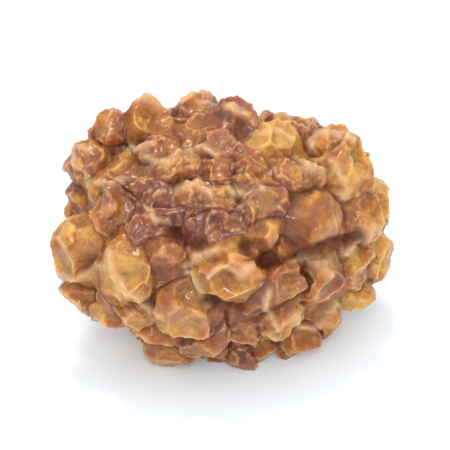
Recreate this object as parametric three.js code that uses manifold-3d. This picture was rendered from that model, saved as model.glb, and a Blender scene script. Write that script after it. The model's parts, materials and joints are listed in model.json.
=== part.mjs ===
import * as THREE from 'three';
import { mergeVertices } from 'three/addons/utils/BufferGeometryUtils.js';
import Module from 'manifold-3d';

// One dried white mulberry, lying on its side.
// Millimetres, +Z up. +X runs along the fruit to its stem end.
// The origin is under the middle of the whole part, on the surface that it lies on.

// Driving dimensions
const LENGTH = 17.0; // of the fruit alone, tip to stem end
const WIDTH = 13.0;
const HEIGHT = 11.8;
const SPACING = 2.3; // typical width of a drupelet
const CROWDING = 0.83; // least distance between two drupelets, as a share of their mean width
const SPIRAL_PLACES = 900; // places tried for the drupelets of the back
const REST_TRIM = 0.45; // the lowest drupelets are pressed flat by this much
const UNDERSIDE_SINK = 0.6; // how far the underside is flatter than the ellipsoid
const STEM_DIAMETER = 1.3;
const STEM_LENGTH = 4.5; // of the whole stub, with its root
const STEM_ROOT = 1.5; // the part of that inside the fruit
const CLEARANCE = 0.3; // between the stub and the wall of its socket

// The drupelets' centres lie on an ellipsoid this far inside the outer size
const DRUPELET_REACH = 1.3;
const BODY = new THREE.Vector3(LENGTH, WIDTH, HEIGHT + REST_TRIM + UNDERSIDE_SINK)
  .multiplyScalar(0.5)
  .subScalar(DRUPELET_REACH);
const CORE_SINK = 0.45; // depth of the fused core under that ellipsoid

// The shoulder that shrank most, as a direction and a depth
const SUNK_SHOULDER = new THREE.Vector3(0.65, 0.3, 0.7).normalize();
const SUNK_DEPTH = 0.9;
const SUNK_EDGE = 0.35; // cosine of the angle at which it ends

// Where the stalk leaves the fruit, as a direction from the middle
const STEM_AT = new THREE.Vector3(0.84, 0.5, -0.22).normalize();
const STEM_LEAN = new THREE.Vector3(0.78, 0.6, -0.06).normalize();
const STEM_BEND = 0.45; // how far its free end has curled aside
const STEM_PIT = 1.5; // radius round the stalk that is bare of drupelets

// Direction from which the front drupelets were placed by eye
const VIEW_TURN = -30; // degrees round Z from the -Y side
const VIEW_RISE = 31; // degrees above the horizon

// Shape of one shrunk drupelet: a ball pressed against a top face and a ring of side faces
const CASTS = 12; // different shrunk shapes
const SIDES = 5;
const SHARPNESS = 14; // of the edges between its faces
const TOP_REACH = 0.74; // distance of the top face, as a share of the half depth
const OVERLAP = 0.32; // how far it reaches into its neighbours
const DEEP_BASE = 0.8; // its half depth is this much
const DEEP_SHARE = 0.15; // and this share of its width and height

// What is drawn at random for each drupelet or cast: the number of the draw and its range
const SEED = 7;
const SCATTER = { item: 12.9898, use: 78.233, size: 43758.5453 };
const DRAWN_WIDE = { use: 1, low: 0.8, high: 1.25 }; // times SPACING
const DRAWN_HIGH = { use: 2, low: 0.8, high: 1.25 };
const DRAWN_STAND = { use: 3, low: -0.3, high: 0.3 }; // how far it stands out
const DRAWN_TOP_ROUND = { use: 10, low: 0, high: 2 * Math.PI };
const DRAWN_TOP_LEAN = { use: 11, low: 0.05, high: 0.4 };
const DRAWN_SIDE_SHIFT = { use: 20, low: -0.28, high: 0.28 }; // share of the step between sides
const DRAWN_SIDE_LEAN = { use: 30, low: 0.95, high: 1.4 };
const DRAWN_SIDE_REACH = { use: 40, low: 0.76, high: 0.95 };

// Fineness of the meshes
const ROUND_DETAIL = 1; // subdivision of the icosahedron that each drupelet starts from
const CORE_DETAIL = 3;
const CORE_SHARE = 0.5; // how much of the sunk shoulder the core follows
const STALK_SIDES = 10;
const STALK_STEPS = 6;
const STALK_WAIST = 0.3; // how much thinner the waist is, as a share
const WAIST_SHIFT = 0.7; // under 1, the waist lies nearer the root
const WELD = 1e-3; // points nearer than this are one

// Front drupelets: millimetres right and up of the middle in that view,
// their width and height there, and how far they stand out; the plump ones have stayed round
const FRONT = [
  // along the top
  { right: -4.1, up: 5.1, wide: 2.4, high: 2.6, rise: -0.25 },
  { right: -5.6, up: 4.7, wide: 1.7, high: 2.0, rise: 0.0 },
  { right: -1.7, up: 5.3, wide: 2.1, high: 2.2, rise: 0.1 },
  { right: 0.3, up: 5.0, wide: 1.9, high: 2.0, rise: 0.0 },
  { right: 2.1, up: 3.8, wide: 2.3, high: 1.9, rise: 0.2 },
  { right: 4.6, up: 3.7, wide: 2.2, high: 1.6, rise: 0.1 },
  { right: 5.4, up: 2.6, wide: 2.9, high: 2.6, rise: 0.0 },
  { right: 6.9, up: 1.3, wide: 1.6, high: 2.6, rise: -0.2 },
  { right: -6.7, up: 3.0, wide: 1.9, high: 2.5, rise: -0.1 },
  { right: -6.6, up: 1.5, wide: 1.5, high: 1.7, rise: 0.0 },
  // the finer, darker ones in the middle
  { right: -5.4, up: 3.0, wide: 1.9, high: 1.7, rise: 0.0 },
  { right: -5.3, up: 0.8, wide: 1.6, high: 2.3, rise: 0.1 },
  { right: -3.5, up: 3.6, wide: 1.8, high: 1.4, rise: -0.1 },
  { right: -4.1, up: 2.2, wide: 1.6, high: 1.6, rise: -0.3 },
  { right: -2.4, up: 2.6, wide: 1.7, high: 1.3, rise: -0.1 },
  { right: -2.9, up: 1.0, wide: 1.6, high: 1.5, rise: -0.3 },
  { right: -1.2, up: 1.4, wide: 2.1, high: 1.6, rise: 0.0 },
  { right: -0.4, up: 3.6, wide: 1.6, high: 1.6, rise: -0.2 },
  { right: -0.4, up: 2.6, wide: 1.4, high: 1.3, rise: 0.0 },
  { right: 1.1, up: 2.3, wide: 1.9, high: 1.6, rise: 0.0 },
  { right: 1.5, up: 0.9, wide: 1.8, high: 1.5, rise: -0.1 },
  { right: -0.5, up: 0.2, wide: 1.9, high: 1.5, rise: -0.4 },
  { right: 2.8, up: 2.3, wide: 1.7, high: 1.7, rise: -0.1 },
  { right: 3.7, up: 2.2, wide: 1.6, high: 1.8, rise: -0.1 },
  { right: 3.9, up: 0.35, wide: 2.7, high: 2.8, rise: 0.2, plump: true },
  { right: 6.0, up: 0.5, wide: 2.0, high: 2.2, rise: -0.1 },
  { right: 1.5, up: -0.45, wide: 1.3, high: 1.0, rise: 0.2, plump: true },
  { right: -3.7, up: -0.2, wide: 1.9, high: 1.5, rise: -0.1 },
  // the coarser, brighter ones below
  { right: -6.6, up: -1.2, wide: 2.5, high: 3.1, rise: 0.2 },
  { right: -6.9, up: -3.1, wide: 2.0, high: 1.5, rise: -0.2 },
  { right: -4.3, up: -1.8, wide: 2.2, high: 2.8, rise: 0.3 },
  { right: -2.0, up: -3.8, wide: 2.5, high: 3.0, rise: 0.35 },
  { right: 0.0, up: -2.0, wide: 3.1, high: 2.3, rise: 0.3 },
  { right: -5.3, up: -3.8, wide: 2.0, high: 2.0, rise: 0.0 },
  { right: -2.6, up: -5.4, wide: 2.1, high: 1.9, rise: 0.3 },
  { right: -0.8, up: -5.6, wide: 1.7, high: 1.8, rise: 0.1 },
  { right: 0.4, up: -6.0, wide: 1.7, high: 1.4, rise: 0.0 },
  { right: 0.6, up: -4.7, wide: 1.8, high: 2.1, rise: -0.3 },
  { right: 2.2, up: -4.0, wide: 1.6, high: 2.8, rise: 0.1 },
  { right: 3.9, up: -2.4, wide: 2.4, high: 2.2, rise: 0.2 },
  { right: 4.1, up: -4.3, wide: 2.2, high: 1.9, rise: 0.1 },
  { right: 3.1, up: -5.5, wide: 2.1, high: 1.6, rise: 0.0 },
  { right: 1.4, up: -5.7, wide: 1.9, high: 1.5, rise: -0.2 },
  { right: 6.4, up: -1.3, wide: 2.4, high: 2.8, rise: 0.2 },
  { right: 5.9, up: -3.1, wide: 1.8, high: 1.9, rise: 0.0 },
  { right: -2.9, up: -1.7, wide: 2.2, high: 2.2, rise: -0.3 },
  { right: -3.9, up: -3.8, wide: 1.6, high: 1.8, rise: 0.0 },
];

const GOLDEN_TURN = Math.PI * (3 - Math.sqrt(5));
const ALONG_STALK = new THREE.Vector3(0, 1, 0);

const wasm = await Module();
wasm.setup();

// A repeatable random number for one item, within the range of what is drawn
function draw(item, { use, low, high }, step = 0) {
  const wave = Math.sin(item * SCATTER.item + (use + step) * SCATTER.use + SEED) * SCATTER.size;
  return low + (high - low) * (wave - Math.floor(wave));
}

// A closed geometry as a solid that can be joined and cut
function solidOf(geometry) {
  const bare = geometry.clone();
  bare.deleteAttribute('normal');
  bare.deleteAttribute('uv');
  const merged = mergeVertices(bare, WELD);
  const corners = merged.index.array;
  const triVerts = [];
  for (let corner = 0; corner < corners.length; corner += 3) {
    const [a, b, c] = corners.slice(corner, corner + 3);
    if (a !== b && b !== c && c !== a) triVerts.push(a, b, c);
  }
  return new wasm.Manifold(new wasm.Mesh({
    numProp: 3,
    vertProperties: new Float32Array(merged.attributes.position.array),
    triVerts: new Uint32Array(triVerts),
  }));
}

// The outer skin of a solid, without the walls of any hollow sealed inside it and without loose scraps
function outerSkin(solid) {
  const shells = solid.decompose().sort((one, other) => other.volume() - one.volume());
  const { vertProperties, triVerts } = shells[0].getMesh();
  const geometry = new THREE.BufferGeometry();
  geometry.setAttribute('position', new THREE.BufferAttribute(vertProperties, 3));
  geometry.setIndex(new THREE.BufferAttribute(triVerts, 1));
  return geometry;
}

// Directions of the view in which the front drupelets were placed
function viewAxes() {
  const turn = THREE.MathUtils.degToRad(VIEW_TURN);
  const rise = THREE.MathUtils.degToRad(VIEW_RISE);
  const rightward = new THREE.Vector3(Math.cos(turn), Math.sin(turn), 0);
  const toViewer = new THREE.Vector3(
    Math.sin(turn) * Math.cos(rise), -Math.cos(turn) * Math.cos(rise), Math.sin(rise));
  return { rightward, toViewer, upward: toViewer.clone().cross(rightward) };
}

// Outward direction of the body's ellipsoid at a point near its skin
function outwardAt(point) {
  return point.clone().divide(BODY).divide(BODY).normalize();
}

// How far the sunk shoulder lies below the ellipsoid in the direction of a point
function sunkAt(point) {
  const facing = (point.clone().normalize().dot(SUNK_SHOULDER) - SUNK_EDGE) / (1 - SUNK_EDGE);
  return SUNK_DEPTH * Math.max(facing, 0) ** 2;
}

// The front drupelets, each where its line of sight meets the body or passes it most closely
function frontDrupelets() {
  const { rightward, toViewer, upward } = viewAxes();
  const line = toViewer.clone().divide(BODY);
  return FRONT.map(({ right, up, wide, high, rise, plump }) => {
    const centre = rightward.clone().multiplyScalar(right).addScaledVector(upward, up);
    const start = centre.clone().divide(BODY);
    const middle = -start.dot(line) / line.lengthSq();
    const half = Math.sqrt(Math.max(middle ** 2 - (start.lengthSq() - 1) / line.lengthSq(), 0));
    centre.addScaledVector(toViewer, middle + half);
    const outward = outwardAt(centre);
    centre.addScaledVector(outward, rise);
    return { centre, outward, sideways: rightward, wide, high, plump };
  });
}

// The drupelets round the back: the places on a fine golden-angle spiral that are still free
function backDrupelets(front) {
  const back = [];
  const stalk = STEM_AT.clone().multiply(BODY);
  for (let item = 0; item < SPIRAL_PLACES; item += 1) {
    const along = 1 - (2 * (item + 0.5)) / SPIRAL_PLACES;
    const girth = Math.sqrt(1 - along ** 2);
    const round = item * GOLDEN_TURN;
    const centre = new THREE.Vector3(along, girth * Math.cos(round), girth * Math.sin(round)).multiply(BODY);
    const wide = SPACING * draw(item, DRAWN_WIDE);
    const high = SPACING * draw(item, DRAWN_HIGH);
    const outward = outwardAt(centre);
    const bare = centre.distanceTo(stalk) < STEM_PIT;
    centre.addScaledVector(outward, -sunkAt(centre));
    centre.z = Math.max(centre.z, UNDERSIDE_SINK - BODY.z);
    const isClear = (other) =>
      other.centre.distanceTo(centre) > CROWDING * (wide + high + other.wide + other.high) / 4;
    if (!bare && front.every(isClear) && back.every(isClear)) {
      centre.addScaledVector(outward, draw(item, DRAWN_STAND));
      back.push({ centre, outward, sideways: new THREE.Vector3(1, 0, 0), wide, high });
    }
  }
  return back;
}

// The flattened faces of one shrunk shape: a top and a ring of sides, each a normal over its distance
function facetsOf(cast) {
  const top = { round: draw(cast, DRAWN_TOP_ROUND), lean: draw(cast, DRAWN_TOP_LEAN), reach: TOP_REACH };
  const facets = [top];
  for (let side = 0; side < SIDES; side += 1) {
    facets.push({
      round: (2 * Math.PI * (side + draw(cast, DRAWN_SIDE_SHIFT, side))) / SIDES,
      lean: draw(cast, DRAWN_SIDE_LEAN, side),
      reach: draw(cast, DRAWN_SIDE_REACH, side),
    });
  }
  return facets.map(({ round, lean, reach }) => new THREE.Vector3(
    Math.sin(lean) * Math.cos(round), Math.sin(lean) * Math.sin(round), Math.cos(lean)).divideScalar(reach));
}

// One drupelet: a ball pressed against its facets, stretched, and set on the body
function drupelet({ centre, outward, sideways, wide, high, plump = false }, item) {
  const facets = plump ? [] : facetsOf(item % CASTS);
  const across = sideways.clone().addScaledVector(outward, -sideways.dot(outward)).normalize();
  const along = outward.clone().cross(across);
  const deep = DEEP_BASE + DEEP_SHARE * (wide + high);
  const half = new THREE.Vector3(wide / 2 + OVERLAP, high / 2 + OVERLAP, deep);
  const geometry = new THREE.IcosahedronGeometry(1, ROUND_DETAIL);
  const place = geometry.attributes.position;
  const point = new THREE.Vector3();
  for (let vertex = 0; vertex < place.count; vertex += 1) {
    point.fromBufferAttribute(place, vertex).normalize();
    const press = facets.reduce((sum, facet) => sum + Math.max(facet.dot(point), 0) ** SHARPNESS, 1);
    point.multiplyScalar(press ** (-1 / SHARPNESS)).multiply(half);
    const { x, y, z } = point;
    point.copy(centre).addScaledVector(across, x).addScaledVector(along, y).addScaledVector(outward, z);
    place.setXYZ(vertex, point.x, point.y, point.z);
  }
  return geometry;
}

// The flesh that all drupelets are rooted in
function core() {
  const geometry = new THREE.IcosahedronGeometry(1, CORE_DETAIL);
  geometry.scale(BODY.x - CORE_SINK, BODY.y - CORE_SINK, BODY.z - CORE_SINK);
  const place = geometry.attributes.position;
  const point = new THREE.Vector3();
  for (let vertex = 0; vertex < place.count; vertex += 1) {
    point.fromBufferAttribute(place, vertex);
    point.addScaledVector(outwardAt(point), -CORE_SHARE * sunkAt(point));
    place.setXYZ(vertex, point.x, point.y, point.z);
  }
  return geometry;
}

// The stalk's stub, waisted and curled aside, or with grow the room round it
function stalk(grow) {
  const profile = [new THREE.Vector2(0, -grow)];
  for (let step = 0; step <= STALK_STEPS; step += 1) {
    const share = step / STALK_STEPS;
    const radius = (STEM_DIAMETER / 2) * (1 - STALK_WAIST * Math.sin(Math.PI * share ** WAIST_SHIFT));
    profile.push(new THREE.Vector2(radius + grow, share * (STEM_LENGTH + 2 * grow) - grow));
  }
  profile.push(new THREE.Vector2(0, STEM_LENGTH + grow));
  const geometry = new THREE.LatheGeometry(profile, STALK_SIDES);
  const place = geometry.attributes.position;
  for (let vertex = 0; vertex < place.count; vertex += 1) {
    const bend = STEM_BEND * (place.getY(vertex) / STEM_LENGTH) ** 2;
    place.setX(vertex, place.getX(vertex) + bend);
  }
  const root = STEM_AT.clone().multiply(BODY.clone().subScalar(CORE_SINK));
  root.addScaledVector(STEM_LEAN, -STEM_ROOT);
  geometry.applyQuaternion(new THREE.Quaternion().setFromUnitVectors(ALONG_STALK, STEM_LEAN));
  geometry.translate(root.x, root.y, root.z);
  return geometry;
}

// What the fruit loses underneath where its own weight pressed it flat
function restingPlane(solid) {
  const geometry = outerSkin(solid);
  geometry.computeBoundingBox();
  const slab = new THREE.BoxGeometry(2 * LENGTH, 2 * WIDTH, HEIGHT);
  slab.translate(0, 0, geometry.boundingBox.min.z + REST_TRIM - HEIGHT / 2);
  return slab;
}

function fruit() {
  const front = frontDrupelets();
  const drupelets = [...front, ...backDrupelets(front)];
  let solid = solidOf(core());
  drupelets.forEach((each, item) => {
    solid = solid.add(solidOf(drupelet(each, item)));
  });
  solid = solid.subtract(solidOf(stalk(CLEARANCE)));
  solid = solid.subtract(solidOf(restingPlane(solid)));
  return outerSkin(solid);
}

// Brings the fruit to its driving size and the part to its origin, and takes the stub along
function settle(fruitGeometry, stubGeometry) {
  fruitGeometry.computeBoundingBox();
  const grown = fruitGeometry.boundingBox.getSize(new THREE.Vector3());
  const fit = new THREE.Vector3(LENGTH, WIDTH, HEIGHT).divide(grown);
  const whole = new THREE.Box3();
  [fruitGeometry, stubGeometry].forEach((geometry) => {
    geometry.scale(fit.x, fit.y, fit.z);
    geometry.computeBoundingBox();
    whole.union(geometry.boundingBox);
  });
  const middle = whole.getCenter(new THREE.Vector3());
  [fruitGeometry, stubGeometry].forEach((geometry) => {
    geometry.translate(-middle.x, -middle.y, -whole.min.z);
  });
}

const grownFruit = fruit();
const stubGeometry = outerSkin(solidOf(stalk(0)));
settle(grownFruit, stubGeometry);

// Welding points at their final size can pinch off a tiny pocket, so the skin is taken once more
const fruitGeometry = outerSkin(solidOf(grownFruit));

const driedFlesh = new THREE.MeshStandardMaterial({ color: '#a8703a', roughness: 0.42, metalness: 0 });
const dryStalk = new THREE.MeshStandardMaterial({ color: '#c9a676', roughness: 0.8, metalness: 0 });

const mulberry = new THREE.Group();
[
  { name: 'fruit', geometry: fruitGeometry, material: driedFlesh },
  { name: 'stem_stub', geometry: stubGeometry, material: dryStalk },
].forEach(({ name, geometry, material }) => {
  const mesh = new THREE.Mesh(geometry, material);
  mesh.name = name;
  mulberry.add(mesh);
});

export default mulberry;
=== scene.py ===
"""A dried white mulberry as a Blender add-on: the fruit, the stub of its stalk and a plain studio stage."""

import json
import math

import bmesh
import bpy
import numpy as np
from mathutils import Matrix, Vector, noise

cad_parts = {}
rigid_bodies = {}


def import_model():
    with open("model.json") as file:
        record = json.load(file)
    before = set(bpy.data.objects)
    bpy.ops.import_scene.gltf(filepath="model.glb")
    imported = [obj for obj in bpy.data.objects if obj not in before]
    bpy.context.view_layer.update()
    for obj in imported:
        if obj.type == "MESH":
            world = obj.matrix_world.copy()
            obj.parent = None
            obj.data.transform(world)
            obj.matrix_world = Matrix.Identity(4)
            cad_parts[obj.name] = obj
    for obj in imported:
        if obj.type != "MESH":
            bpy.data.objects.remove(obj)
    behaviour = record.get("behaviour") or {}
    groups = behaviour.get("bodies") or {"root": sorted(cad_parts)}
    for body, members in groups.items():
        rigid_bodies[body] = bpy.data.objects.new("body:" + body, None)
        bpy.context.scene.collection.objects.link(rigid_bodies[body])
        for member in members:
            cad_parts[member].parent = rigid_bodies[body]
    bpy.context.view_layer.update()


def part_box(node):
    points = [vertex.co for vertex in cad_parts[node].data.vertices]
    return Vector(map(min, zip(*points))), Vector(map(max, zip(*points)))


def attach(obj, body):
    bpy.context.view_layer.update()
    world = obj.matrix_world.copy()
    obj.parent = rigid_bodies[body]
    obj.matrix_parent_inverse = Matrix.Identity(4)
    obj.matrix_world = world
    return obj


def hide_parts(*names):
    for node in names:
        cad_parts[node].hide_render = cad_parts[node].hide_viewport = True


bl_info = {
    "name": "Dried White Mulberry",
    "version": (1, 0, 0),
    "blender": (4, 5, 0),
    "location": "3D View > Sidebar > Mulberry",
    "description": "Grows one dried white mulberry around its packed model",
    "category": "Add Mesh",
}

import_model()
FRUIT_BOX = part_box("fruit")
STALK_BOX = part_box("stem_stub")
MM = 0.001


def direction(x, y, z):
    """A direction as a vector of length 1."""
    return np.array((x, y, z)) / math.sqrt(x ** 2 + y ** 2 + z ** 2)


# The body that the drupelets stand on, its middle at 0 and its sizes in millimetres, the frame's rounded to
# thousandths. The floor presses the skin flat by the trim, and the lowest roots are raised by the sink
FRUIT_SIZE = np.round(np.array(FRUIT_BOX[1] - FRUIT_BOX[0]) / MM, 3)
REST_TRIM = 0.45
UNDERSIDE_SINK = 0.6
DRUPELET_REACH = 1.3
BODY = (FRUIT_SIZE + (0, 0, REST_TRIM + UNDERSIDE_SINK)) / 2 - DRUPELET_REACH
CORE_RISE = 0.55
CORE_DETAIL = 5

# Its sunk shoulder: the direction to it, how deep it is and at which cosine from there it ends
SUNK_SHOULDER = direction(0.65, 0.3, 0.7)
SUNK_DEPTH = 0.9
SUNK_EDGE = 0.35

# The stalk: the direction to its root, how wide and deep the hollow round it is, and where it points
STEM_AT = direction(0.84, 0.5, -0.22)
STEM_PIT = 1.5
STALK_HOLLOW = 0.8
STEM_LEAN = direction(0.78, 0.6, -0.06)

# The view in which the front drupelets were placed, in degrees
VIEW_TURN = -30
VIEW_RISE = 31

# One shrunk drupelet: a ball pressed against a top face and a ring of side faces, in so many shapes
CASTS = 12
SIDES = 5
SHARPNESS = 14
TOP_REACH = 0.74
DISH_WIDTH = 0.25
CAST_DETAIL = 5

# The drupelets of the back: their usual width in millimetres, how near each other they may be as a share of
# their sizes, and how many places of a golden-angle spiral are tried for them
SPACING = 2.3
CROWDING = 0.83
SPIRAL_PLACES = 900
GOLDEN_TURN = math.pi * (3 - math.sqrt(5))

# Random draws: what scatters them, and then the number of each draw and its range
SEED = 7
SCATTER_ITEM = 12.9898
SCATTER_USE = 78.233
SCATTER_SIZE = 43758.5453
CELL_SCATTER = np.array(((12.9898, 39.346, 73.156), (78.233, 11.135, 52.235), (37.719, 83.155, 9.151)))
DRAWN_WIDE = (1, 0.8, 1.25)
DRAWN_HIGH = (2, 0.8, 1.25)
DRAWN_STAND = (3, -0.3, 0.3)
DRAWN_TONE = (5, 0.2, 0.95)
DRAWN_CREASED = (6, 0.1, 1.0)
DRAWN_PIT = (7, -1.2, 0.7)
DRAWN_FILM = (8, 0.0, 1.0)
DRAWN_TOP_ROUND = (10, 0.0, 2 * math.pi)
DRAWN_TOP_LEAN = (11, 0.05, 0.4)
DRAWN_SIDE_SHIFT = (20, -0.28, 0.28)
DRAWN_SIDE_LEAN = (30, 0.95, 1.4)
DRAWN_SIDE_REACH = (40, 0.76, 0.95)

# Front drupelets: right and up of the middle in that view, width, height and how far they stand out, all
# in millimetres; then, as shares, how bright they are, how dull and pink their film is, how creased they
# are and how deep the slit in their tip is
FRONT_ABOVE = (
    # along the top
    (-4.1, 5.1, 2.4, 2.6, -0.25, 0.80, 0.0, 0.3, 0.0),
    (-5.6, 4.7, 1.7, 2.0, 0.0, 0.40, 0.7, 0.6, 0.0),
    # The low tone and heavy film of these two are painted shade, the shadow that neighbouring berries cast on
    # the top
    (-1.7, 5.3, 2.1, 2.2, 0.1, 0.22, 0.8, 0.9, 0.0),
    (0.3, 5.0, 1.9, 2.0, 0.0, 0.32, 0.8, 0.5, 0.0),
    (2.1, 3.8, 2.3, 1.9, 0.2, 1.00, 0.0, 0.3, 0.2),
    (4.6, 3.7, 2.2, 1.6, 0.1, 1.00, 0.0, 0.2, 0.0),
    (5.4, 2.6, 2.9, 2.6, 0.0, 0.90, 0.1, 0.3, 0.0),
    (6.9, 1.3, 1.6, 2.6, -0.2, 1.00, 0.0, 0.5, 0.0),
    (-6.7, 3.0, 1.9, 2.5, -0.1, 0.50, 0.3, 0.6, 0.0),
    (-6.6, 1.5, 1.5, 1.7, 0.0, 0.35, 0.4, 0.8, 0.0),
    # the finer, darker ones in the middle
    (-5.4, 3.0, 1.9, 1.7, 0.0, 0.65, 0.3, 0.5, 0.0),
    (-5.3, 0.8, 1.6, 2.3, 0.1, 0.55, 0.5, 0.9, 0.0),
    (-3.5, 3.6, 1.8, 1.4, -0.1, 0.65, 0.6, 0.8, 0.0),
    (-4.1, 2.2, 1.6, 1.6, -0.3, 0.30, 0.9, 0.8, 0.5),
    (-2.4, 2.6, 1.7, 1.3, -0.1, 0.70, 0.5, 1.0, 0.2),
    (-2.9, 1.0, 1.6, 1.5, -0.3, 0.12, 1.0, 0.7, 0.8),
    (-1.2, 1.4, 2.1, 1.6, 0.0, 0.75, 0.6, 1.0, 0.0),
    (-0.4, 3.6, 1.6, 1.6, -0.2, 0.35, 0.9, 0.8, 0.3),
    (-0.4, 2.6, 1.4, 1.3, 0.0, 0.65, 0.4, 0.7, 0.0),
    (1.1, 2.3, 1.9, 1.6, 0.0, 0.65, 0.6, 1.0, 0.3),
    (1.5, 0.9, 1.8, 1.5, -0.1, 0.40, 0.9, 0.9, 0.0),
    (-0.5, 0.2, 1.9, 1.5, -0.4, 0.15, 0.9, 0.8, 0.2),
    (2.8, 2.3, 1.7, 1.7, -0.1, 0.65, 0.5, 0.7, 0.0),
    (3.7, 2.2, 1.6, 1.8, -0.1, 0.85, 0.3, 0.6, 0.0),
    (3.9, 0.35, 2.7, 2.8, 0.2, 0.30, 0.5, 0.0, 0.0),
    (6.0, 0.5, 2.0, 2.2, -0.1, 0.70, 0.3, 0.4, 0.0),
    (1.5, -0.45, 1.3, 1.0, 0.2, 0.75, 0.6, 0.0, 0.0),
    (-3.7, -0.2, 1.9, 1.5, -0.1, 0.25, 0.9, 0.7, 0.0),
)

# The same for the coarser, brighter ones below
FRONT_BELOW = (
    (-6.6, -1.2, 2.5, 3.1, 0.2, 0.80, 0.1, 0.2, 0.0),
    (-6.9, -3.1, 2.0, 1.5, -0.2, 0.70, 0.2, 0.4, 0.0),
    (-4.3, -1.8, 2.2, 2.8, 0.3, 1.00, 0.0, 0.1, 0.0),
    (-2.0, -3.8, 2.5, 3.0, 0.35, 0.68, 0.4, 0.3, 0.0),
    (0.0, -2.0, 3.1, 2.3, 0.3, 0.80, 0.2, 0.2, 0.0),
    (-5.3, -3.8, 2.0, 2.0, 0.0, 0.50, 0.3, 0.4, 0.0),
    (-2.6, -5.4, 2.1, 1.9, 0.3, 0.60, 0.4, 0.4, 0.0),
    (-0.8, -5.6, 1.7, 1.8, 0.1, 0.50, 0.5, 0.9, 0.7),
    (0.4, -6.0, 1.7, 1.4, 0.0, 0.45, 0.6, 0.5, 0.0),
    # Its low tone is partly its own dark colour and partly painted shade under the drupelet above it
    (0.6, -4.7, 1.8, 2.1, -0.3, 0.25, 0.5, 0.5, 0.0),
    (2.2, -4.0, 1.6, 2.8, 0.1, 0.70, 0.4, 1.0, 0.3),
    (3.9, -2.4, 2.4, 2.2, 0.2, 0.70, 0.4, 0.4, 0.0),
    (4.1, -4.3, 2.2, 1.9, 0.1, 0.85, 0.3, 0.4, 0.0),
    (3.1, -5.5, 2.1, 1.6, 0.0, 0.60, 0.4, 0.4, 0.0),
    (1.4, -5.7, 1.9, 1.5, -0.2, 0.40, 0.6, 0.5, 0.0),
    (6.4, -1.3, 2.4, 2.8, 0.2, 1.00, 0.0, 0.1, 0.0),
    (5.9, -3.1, 1.8, 1.9, 0.0, 1.00, 0.0, 0.2, 0.0),
    (-2.9, -1.7, 2.2, 2.2, -0.3, 0.60, 0.3, 0.4, 0.0),
    (-3.9, -3.8, 1.6, 1.8, 0.0, 0.90, 0.1, 0.3, 0.0),
)
FRONT = FRONT_ABOVE + FRONT_BELOW

# The deepest creases of the front, as right and up of the middle in its view, in millimetres. They are drawn
# in, and painted shade darkens them
DEEP_CREASES = (
    ((0.9, -1.1), (1.6, -1.6), (2.6, -1.6), (4.8, -0.9), (6.2, -0.5)),
    ((-2.6, -0.1), (-2.0, -0.6), (-1.4, -0.9)),
    ((-1.0, -3.5), (-0.2, -3.8), (0.6, -3.9)),
)

# The longest raised folds of the front, given in the same way. They are coloured pale, partly as a painted
# highlight
PALE_FOLDS = (
    ((3.9, 4.2), (4.3, 4.6), (4.9, 4.75), (5.6, 4.6), (5.9, 4.2)),
    ((4.0, 4.0), (4.4, 4.4), (5.0, 4.5), (5.6, 4.35)),
    ((3.2, 3.3), (3.8, 2.8), (4.5, 2.7)),
    ((4.7, 3.2), (5.3, 2.7), (5.6, 2.0), (5.6, 1.4)),
    ((7.0, 2.4), (7.5, 1.6), (7.6, 0.8)),
    ((5.6, -1.2), (6.3, -0.7), (7.1, -0.1)),
    ((3.1, -4.2), (3.4, -4.8), (4.1, -4.9), (5.2, -3.9)),
    ((2.0, -3.1), (1.8, -4.0), (2.6, -4.9)),
    ((3.0, -1.6), (3.8, -1.5), (4.6, -1.8), (4.9, -2.5)),
    ((-8.0, -2.2), (-7.3, -2.6), (-6.8, -2.3), (-6.2, -1.7)),
    ((-5.5, -1.2), (-5.5, -2.0), (-4.8, -2.9), (-3.9, -3.7), (-3.3, -4.4)),
    ((-1.9, -2.2), (-1.2, -2.9), (-0.9, -3.8)),
    ((-2.0, -1.8), (-1.3, -1.3), (-0.5, -1.1)),
    ((-0.9, -2.3), (-0.2, -2.0), (0.6, -2.2), (1.2, -1.8)),
    ((-7.4, 3.5), (-6.9, 2.9), (-6.8, 2.1)),
    ((-6.3, 2.2), (-5.6, 2.1), (-5.1, 2.4)),
    ((-5.2, 6.1), (-4.3, 6.5), (-3.3, 6.0)),
    ((-3.7, 3.3), (-2.9, 3.1), (-2.2, 3.6)),
    ((-2.5, 1.8), (-1.7, 2.0), (-0.8, 1.6)),
    ((0.1, 1.9), (0.9, 1.7), (1.6, 1.9)),
    ((0.0, 5.8), (0.7, 5.6), (1.2, 5.0)),
    ((1.2, 4.4), (2.1, 4.7), (3.0, 4.4)),
    ((-7.9, 3.9), (-7.3, 4.0), (-6.6, 3.8)),
    ((-2.4, 6.0), (-1.8, 6.3), (-1.1, 6.0)),
    ((-1.9, 3.7), (-1.2, 3.9), (-0.6, 3.6)),
    ((-3.8, 0.9), (-3.4, 0.4), (-2.8, 0.3)),
    ((-5.0, 3.9), (-4.3, 3.8), (-3.6, 4.1)),
)

# How far the search for a point's drupelet goes, in half sizes, and a value past all that it finds
SEARCHED = 1.6
UNFOUND = 9.0

# How neighbours grow together: the width kept open along deep creases, in millimetres, the strengths
# between which other creases begin to stay open and how much they do, the moves of hollow and of raised
# points in each round, how many rounds blend all this, and after how many the normals are taken anew
KEPT_OPEN = 0.5
OPEN_STRENGTH = (0.7, 0.95)
OPEN_MOST = 0.8
HOLLOW_MOVE = 0.9
RAISED_MOVE = 0.05
GROWTH_ROUNDS = 4
ROUNDS_PER_NORMAL = 4

# Where the noises start, and the finer part of the skin's bending as shares of the coarse one
NOISE_STARTS = (17.3, 41.9, 83.1)
FINE_WARP_SIZE = 0.4
FINE_WARP = 0.55

# The crumpled skin, in millimetres: the sizes of its cells and how far apart their two layers are taken,
# the length and reach of the swirls that bend them, and the length of the stretches where it is stronger
COARSE_CELLS = 1.5
FINE_CELLS = 0.65
CELLS_APART = 31.7
SWIRL_SIZE = 0.9
SWIRL = 0.35
STRONG_SIZE = 1.4

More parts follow.
